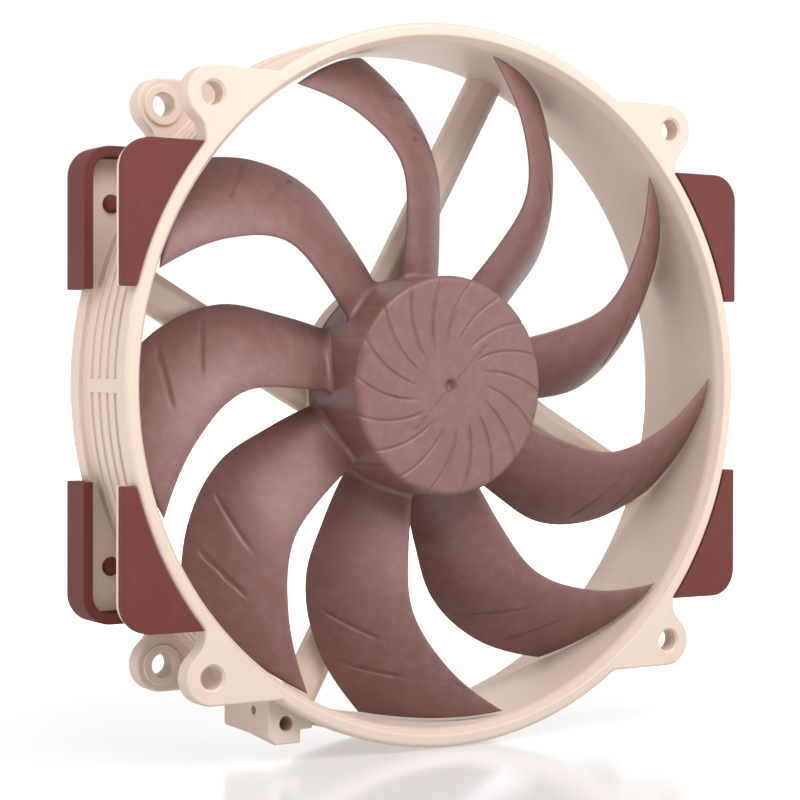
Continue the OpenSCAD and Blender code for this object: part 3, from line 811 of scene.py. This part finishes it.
class Finish:
    """A material and the patterns that finishes share."""

    def __init__(self, name):
        self.material = bpy.data.materials.new(name)
        self.material.use_nodes = True
        self.tree = self.material.node_tree
        self.tree.nodes.clear()
        self.place = self.node("ShaderNodeTexCoord", {}, {}, "Object")

    def node(self, kind, settings, inputs, output=0):
        """Adds a node: its settings first, then a number, a colour or a link for each input."""
        made = self.tree.nodes.new(kind)
        for name, setting in settings.items():
            if name == "stops":
                ramp = made.color_ramp
                while len(ramp.elements) < len(setting):
                    ramp.elements.new(0.5)
                for element, (position, colour) in zip(ramp.elements, setting):
                    element.position, element.color = position, colour
            else:
                setattr(made, name, setting)
        for name, value in inputs.items():
            if isinstance(value, Value):
                self.tree.links.new(value.socket, made.inputs[name])
            else:
                made.inputs[name].default_value = value
        return Value(self, made.outputs[output])

    def stretched(self, x, y, z):
        """The place on the piece, scaled differently along each axis."""
        return self.node("ShaderNodeMapping", {}, {"Vector": self.place, "Scale": (x, y, z)})

    def noise(self, scale, detail=3, place=None, roughness=0.55):
        return self.node("ShaderNodeTexNoise", {}, {"Vector": place or self.place, "Scale": scale,
                                                    "Detail": detail, "Roughness": roughness}, "Fac")

    def cells(self, scale):
        return self.node("ShaderNodeTexVoronoi", {}, {"Vector": self.place, "Scale": scale}, "Distance")

    def bands(self, scale, axis):
        return self.node("ShaderNodeTexWave", {"bands_direction": axis},
                         {"Vector": self.place, "Scale": scale, "Distortion": 0.0}, "Fac")

    def edges(self, reach=9.0):
        """1 along convex edges, 0 elsewhere."""
        point = self.node("ShaderNodeNewGeometry", {}, {}, "Pointiness")
        return ((point - 0.5) * reach).held()

    def blend(self, factor, first, second):
        return self.node("ShaderNodeMix", {"data_type": "RGBA"}, {0: factor, 6: first, 7: second}, 2)

    def bump(self, height, depth):
        return self.node("ShaderNodeBump", {}, {"Strength": 1.0, "Distance": depth * MM, "Height": height})

    def surface(self, colour, roughness, **sockets):
        """The Principled surface that all finishes end in."""
        inputs = {"Base Color": colour, "Roughness": roughness}
        for name, value in sockets.items():
            inputs[name.replace("_", " ").title().replace("Ior", "IOR")] = value
        shader = self.node("ShaderNodeBsdfPrincipled", {}, inputs)
        out = self.tree.nodes.new("ShaderNodeOutputMaterial")
        self.tree.links.new(shader.socket, out.inputs["Surface"])
        return self.material


def paint(red, green, blue):
    """A colour given as 0 to 255 on a screen, as the linear colour that shaders use."""
    linear = [c / 255 / 12.92 if c / 255 <= 0.04045 else ((c / 255 + 0.055) / 1.055) ** 2.4
              for c in (red, green, blue)]
    return (*linear, 1.0)


# %% [markdown]
# ### Moulded plastics and silicone
# The frame is a cream plastic with a satin, faintly eroded skin: large soft clouds where the melt cooled
# unevenly, a fine grain that breaks up reflections, and a painted highlight that makes its edges a little
# lighter.
# The impeller is a brown fibre-filled plastic, so it has short stretched flecks as well, and a painted shade
# makes its edges darker. The pads are silicone, matt and slightly powdery, and a painted highlight makes
# their edges a little lighter.

# %% Mix the plastics
def cream_moulding():
    f = Finish("cream_moulding")
    cloud, grain = f.noise(28, 3), f.noise(2600, 2)
    speck = f.noise(600, 4)
    colour = f.blend(cloud, paint(207, 185, 170), paint(214, 193, 178))
    colour = f.blend((speck - 0.55).held() * 0.5, colour, paint(189, 164, 148))
    # Painted highlight: convex edges are blended towards a lighter cream.
    colour = f.blend(f.edges() * 0.15, colour, paint(224, 206, 193))
    rough = 0.4 + cloud * 0.08 + grain * 0.06
    return f.surface(colour, rough, normal=f.bump(grain * 0.7 + speck * 0.3, 0.02), specular_ior_level=0.45)


def brown_moulding():
    f = Finish("brown_moulding")
    cloud, grain = f.noise(45, 3), f.noise(2400, 2)
    fleck = f.noise(420, 4, f.stretched(1, 0.35, 1), 0.65)
    colour = f.blend(cloud, paint(109, 70, 65), paint(123, 82, 78))
    colour = f.blend((fleck - 0.45).held() * 1.2, colour, paint(141, 108, 106))
    # Painted shade: convex edges are blended towards a darker brown.
    colour = f.blend(f.edges(7) * 0.6, colour, paint(84, 50, 46))
    rough = 0.38 + cloud * 0.08 + fleck * 0.06 + f.edges(7) * 0.12
    return f.surface(colour, rough, normal=f.bump(grain * 0.5 + fleck * 0.5, 0.03), specular_ior_level=0.6)


def pad_silicone():
    f = Finish("pad_silicone")
    cloud, grain = f.noise(60, 3), f.noise(1900, 3)
    dust = f.noise(220, 5, roughness=0.7)
    colour = f.blend(cloud, paint(93, 41, 37), paint(102, 49, 45))
    colour = f.blend((dust - 0.5).held() * 0.5, colour, paint(127, 81, 77))
    # Painted highlight: convex edges are blended towards a lighter red-brown.
    colour = f.blend(f.edges() * 0.3, colour, paint(125, 77, 73))
    return f.surface(colour, 0.56 + cloud * 0.08 + grain * 0.08, normal=f.bump(grain, 0.03),
                     specular_ior_level=0.25)


# %% [markdown]
# ### Metals, copper and board
# What the motor holds is hidden once it is closed, but it is what one sees with the hub lifted off. Pressed
# steel has rolling lines, the stator's sheets show as thin bands, turned brass has rings, sintered bronze has
# pores full of oil, the coils are lacquered wire laid side by side with painted shade between the turns and a
# painted highlight along each, and the board has its mask and tracks.

# %% Mix the motor's finishes
def metal(name, low, high, rough, grain_stretch):
    f = Finish(name)
    grain = f.noise(300, 4, f.stretched(*grain_stretch), 0.6)
    cloud = f.noise(80, 2)
    return f.surface(f.blend(grain, low, high), rough + grain * 0.12 + cloud * 0.06, metallic=1.0,
                     normal=f.bump(grain, 0.01))


def laminated_steel():
    f = Finish("laminated_steel")
    sheets, cloud = f.bands(3100, "Y"), f.noise(150, 3)
    colour = f.blend(sheets ** 3, paint(96, 98, 102), paint(168, 170, 174))
    return f.surface(colour, 0.38 + cloud * 0.15, metallic=0.9, normal=f.bump(sheets, 0.05))


def sintered_bronze():
    f = Finish("sintered_bronze")
    pores, cloud = f.cells(2200), f.noise(200, 3)
    colour = f.blend((pores * 1.6).held(), paint(92, 70, 38), paint(172, 138, 84))
    return f.surface(colour, 0.4 + cloud * 0.2, metallic=0.9, normal=f.bump((pores * 1.4).held(), 0.05))


def lacquered_wire():
    f = Finish("lacquered_wire")
    turns, cloud = f.bands(1250, "X"), f.noise(120, 3)
    # Painted shade and highlight: each turn runs from dark copper between the wires to bright copper along
    # its middle.
    colour = f.blend(turns, paint(104, 46, 22), paint(206, 122, 74))
    colour = f.blend(cloud * 0.4, colour, paint(168, 84, 44))
    return f.surface(colour, 0.26 + cloud * 0.1, metallic=0.8, normal=f.bump(turns, 0.12), coat_weight=0.5)


def circuit_green():
    f = Finish("circuit_green")
    tracks = ((f.cells(420) - 0.42) * 18).held()
    cloud = f.noise(160, 3)
    colour = f.blend(tracks, paint(18, 84, 48), paint(30, 118, 66))
    return f.surface(colour, 0.3 + cloud * 0.12, normal=f.bump(tracks, 0.03))


def plain(name, low, high, rough, scale, depth):
    """A matt or satin material that varies only a little."""
    f = Finish(name)
    grain, cloud = f.noise(scale, 4), f.noise(90, 3)
    colour = f.blend(cloud, low, high)
    return f.surface(colour, rough + grain * 0.12, normal=f.bump(grain, depth))


FINISHES = {
    "cream_plastic": cream_moulding(),
    "brown_plastic": brown_moulding(),
    "red_brown_silicone": pad_silicone(),
    "steel": metal("rolled_steel", paint(150, 152, 156), paint(188, 190, 194), 0.26, (1, 0.1, 1)),
    "brass": metal("turned_brass", paint(178, 138, 70), paint(214, 176, 104), 0.22, (0.1, 1, 0.1)),
    "sintered_bronze": sintered_bronze(),
    "enamelled_copper": lacquered_wire(),
    "board_green": circuit_green(),
    "white_plastic": plain("white_nylon", paint(226, 224, 214), paint(240, 238, 230), 0.42, 900, 0.02),
    "black_rubber": plain("black_rubber", paint(24, 24, 25), paint(38, 37, 38), 0.6, 1500, 0.03),
    "black_plastic": plain("black_epoxy", paint(22, 22, 24), paint(36, 36, 39), 0.45, 1200, 0.03),
    "capacitor_tan": plain("fired_ceramic", paint(158, 122, 78), paint(182, 146, 98), 0.35, 700, 0.02),
    "ferrite": plain("bonded_ferrite", paint(44, 43, 44), paint(66, 64, 64), 0.5, 1100, 0.05),
}
print(len(FINISHES), "finishes")

# %% [markdown]
# ## Dressing and riding
# Each new piece takes the finish of its slot in the record, stands for the engineering node it replaces and
# rides on its body: all that is fixed rides on the housing, all that spins on the impeller. Nodes that stay
# keep their exact shape and only get a better finish, the stator's core that of a stack of sheets.

# %% Dress the pieces and put them on their bodies
def fit(piece, body, slot_name, node):
    """Gives a piece its finish, hides the node it stands for and puts it on the body it rides on."""
    piece.data.materials.clear()
    piece.data.materials.append(FINISHES[slot_name])
    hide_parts(node)
    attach(piece, body)


fit(fan_frame, "housing", "cream_plastic", "frame_ring")
fit(motor_cup, "housing", "cream_plastic", "motor_support")
fit(rear_cover, "housing", "cream_plastic", "rear_disc")
fit(outlet, "housing", "cream_plastic", "cable_outlet")
for node, pad in pads.items():
    fit(pad, "housing", "red_brown_silicone", node)
fit(hub, "impeller", "brown_plastic", "impeller_hub")
for node, blade in blades.items():
    fit(blade, "impeller", "brown_plastic", node)

slot_of = {part["node"]: part["material_slot"] for part in frame["record"]["subparts"]}
sheet_stack = laminated_steel()
for name, node in frame["nodes"].items():
    for material_slot in node.material_slots:
        material_slot.material = sheet_stack if name == "stator_core" else FINISHES[slot_of[name]]
print("dressed", len(slot_of), "nodes")

# %% [markdown]
# ## Floor, light and camera
# The fan stands on a glossy white sheet lit from below, less so right under the fan, before a bright
# backdrop. The rest of the surround is dim, so that large soft lamps can shape the blades: a strong one high
# in front, weaker ones beside it, one low at the right for the hub's cap and two for the frame's left side.
# The camera is a long lens close to the fan's own height, turned so that the left side of the frame shows.

# %% Lay the floor
let_go()
bpy.ops.mesh.primitive_plane_add(size=8, location=(0, 0, ring_low.z - 0.2 * MM))
floor = settle("floor")
GLOW_FROM, GLOW_OVER = 0.11, 0.16
gloss = Finish("white_gloss_floor")
away = gloss.node("ShaderNodeVectorMath", {"operation": "LENGTH"}, {0: gloss.place}, "Value")
glow = gloss.blend(((away - GLOW_FROM) / GLOW_OVER).held(), (0.37, 0.362, 0.36, 1), (1, 1, 1, 1))
floor.data.materials.append(gloss.surface(paint(150, 150, 150), 0.12 + gloss.noise(6, 2) * 0.04,
                                          emission_color=glow, emission_strength=1.15))

# %% Light the studio
world = bpy.data.worlds.new("white_surround")
bpy.context.scene.world = world
world.use_nodes = True
sky = world.node_tree
background = sky.nodes["Background"]
background.inputs["Strength"].default_value = 1.0
direction = sky.nodes.new("ShaderNodeTexCoord")
backdrop = sky.nodes.new("ShaderNodeVectorMath")
backdrop.operation = "DOT_PRODUCT"
backdrop.inputs[1].default_value = (0.53, 0.848, 0.0)
shares = sky.nodes.new("ShaderNodeMapRange")
shares.inputs["From Min"].default_value = -1.0
shares.inputs["From Max"].default_value = 1.0
ramp = sky.nodes.new("ShaderNodeValToRGB")
# How far a direction faces the backdrop, and how bright the surround is there.
SURROUND = [(-1.0, 0.1), (-0.3, 0.12), (0.2, 0.26), (0.62, 0.26), (0.86, 1.06)]
while len(ramp.color_ramp.elements) < len(SURROUND):
    ramp.color_ramp.elements.new(0.5)
for stop, (facing, strength) in zip(ramp.color_ramp.elements, SURROUND):
    stop.position, stop.color = (facing + 1) / 2, (strength, strength, strength, 1)
sky.links.new(direction.outputs["Generated"], backdrop.inputs[0])
sky.links.new(backdrop.outputs["Value"], shares.inputs["Value"])
sky.links.new(shares.outputs["Result"], ramp.inputs["Fac"])
sky.links.new(ramp.outputs["Color"], background.inputs["Color"])
bpy.context.scene.view_settings.view_transform = "Standard"


LAMP_AWAY, LAMP_SIZE = 1.3, 0.9


def lamp(name, azimuth, height, power):
    """A square soft lamp that faces the fan, placed by its angles from the front and from the floor."""
    azimuth, height = math.radians(azimuth), math.radians(height)
    place = LAMP_AWAY * Vector((math.sin(azimuth) * math.cos(height), -math.cos(azimuth) * math.cos(height),
                                math.sin(height)))
    light = bpy.data.lights.new(name, "AREA")
    light.energy, light.size = power, LAMP_SIZE
    holder = bpy.data.objects.new(name, light)
    bpy.context.scene.collection.objects.link(holder)
    holder.location = place
    holder.rotation_euler = (-place).to_track_quat("-Z", "Y").to_euler()


lamp("key", -5, 48, 12.6)
lamp("key_right", 42, 46, 5.6)
lamp("key_left", -45, 48, 3.0)
lamp("low_right", 45, 12, 5.0)
lamp("side", -84, 12, 5.5)
lamp("back_left", -120, 40, 4.2)

# %% Aim the camera
CAMERA_AT = Vector((-223.93, -348.79, 2.34)) * MM
YAW, PITCH, ROLL, LENS = math.radians(32.099), math.radians(-0.722), math.radians(0.1605), 94.45
ahead = Vector((math.sin(YAW) * math.cos(PITCH), math.cos(YAW) * math.cos(PITCH), math.sin(PITCH)))
level = Vector((math.cos(YAW), -math.sin(YAW), 0))
upright = level.cross(ahead)
across = math.cos(ROLL) * level + math.sin(ROLL) * upright
upright = math.cos(ROLL) * upright - math.sin(ROLL) * level
camera = bpy.data.objects.new("camera", bpy.data.cameras.new("camera"))
bpy.context.scene.collection.objects.link(camera)
camera.data.lens, camera.data.sensor_width = LENS, 36
camera.data.clip_start = 0.01
turned = Matrix((across, upright, -ahead)).transposed().to_4x4()
camera.matrix_world = Matrix.Translation(CAMERA_AT) @ turned
bpy.context.scene.camera = camera

# %% Close
let_go()
